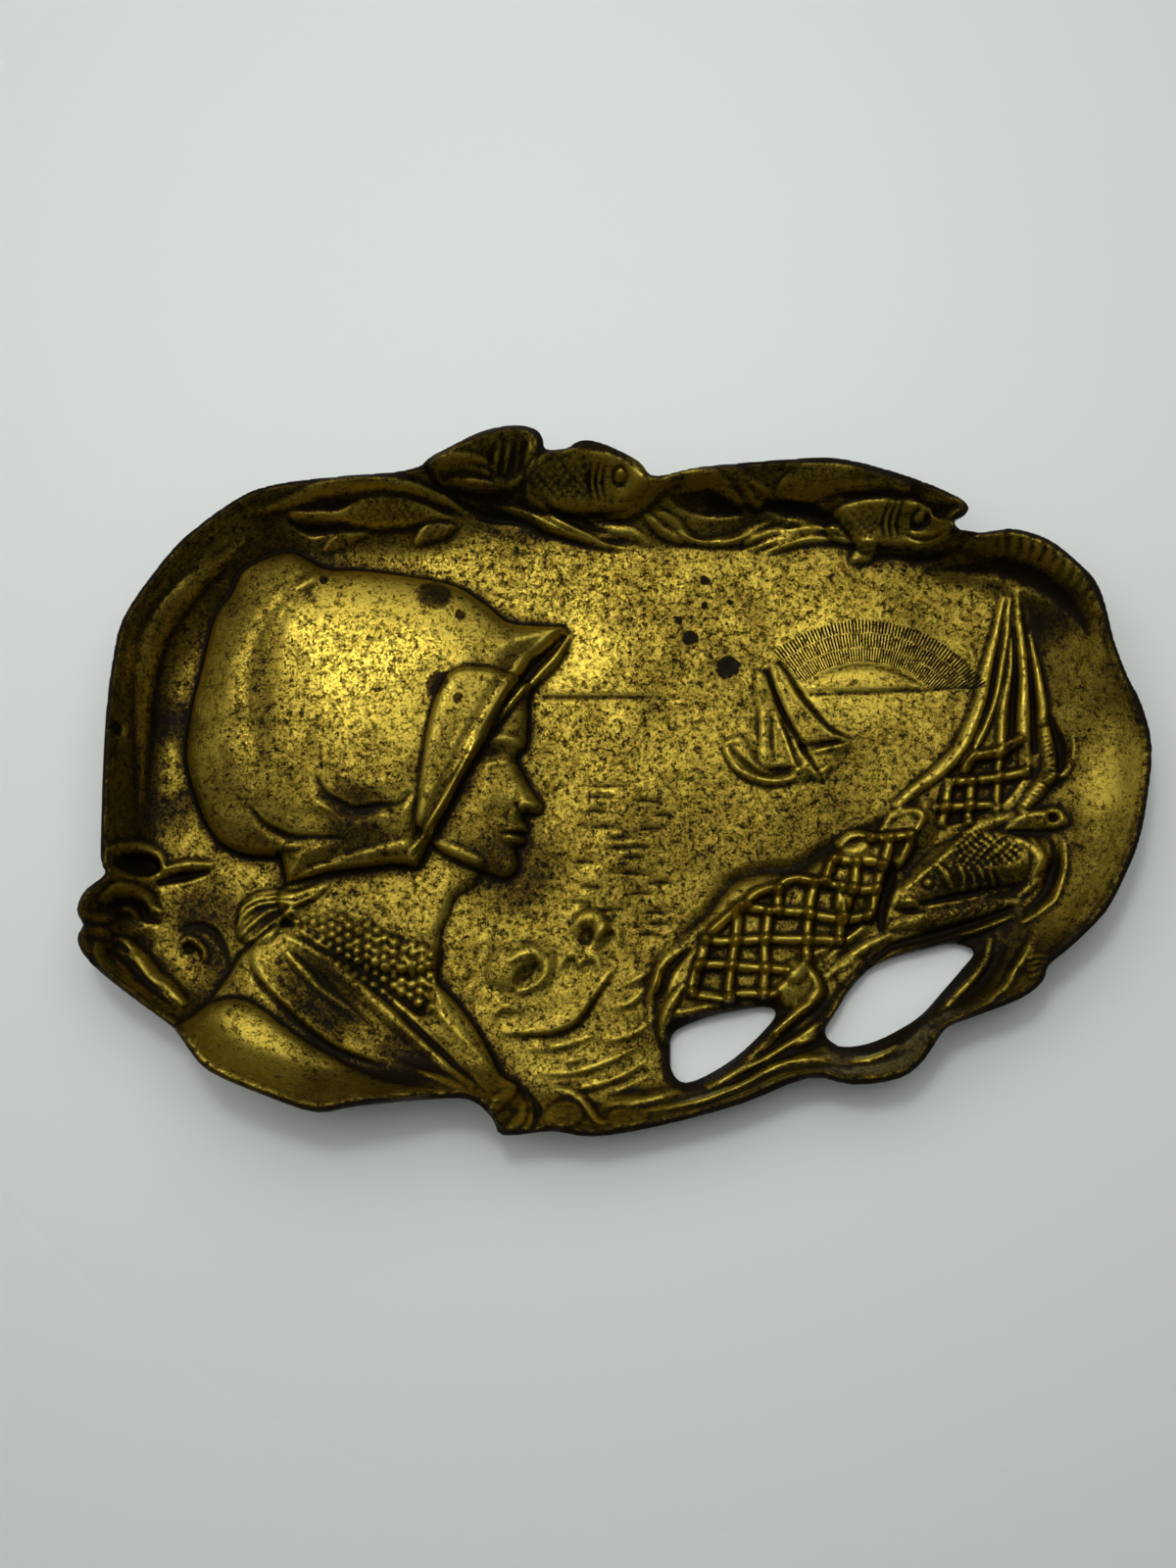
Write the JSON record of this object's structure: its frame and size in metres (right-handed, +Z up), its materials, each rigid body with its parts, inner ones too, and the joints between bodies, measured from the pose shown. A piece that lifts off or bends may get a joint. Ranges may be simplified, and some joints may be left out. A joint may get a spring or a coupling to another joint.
{
  "type": "cast relief dish",
  "caption": "Long cast brass dish with a turned-up rim, its floor carved with a sailor in a bonnet, a boat before a low sun, and a net with fish round the edge.",
  "frame": {"origin": "centre of the bounding box in plan, on the plane the dish stands on", "axes": "+X along the length towards the net, the horizon of the relief runs along it; +Y towards the top of the picture in relief; +Z up out of the dish"},
  "size_m": [0.207, 0.1384, 0.0196],
  "materials": {
    "aged_brass": "cast brass with a dark brown patina in the hollows, rubbed to yellow on the high parts, speckled with small pits"
  },
  "bodies": {
    "root": {"relief_dish": "aged_brass"}
  },
  "joints": []
}
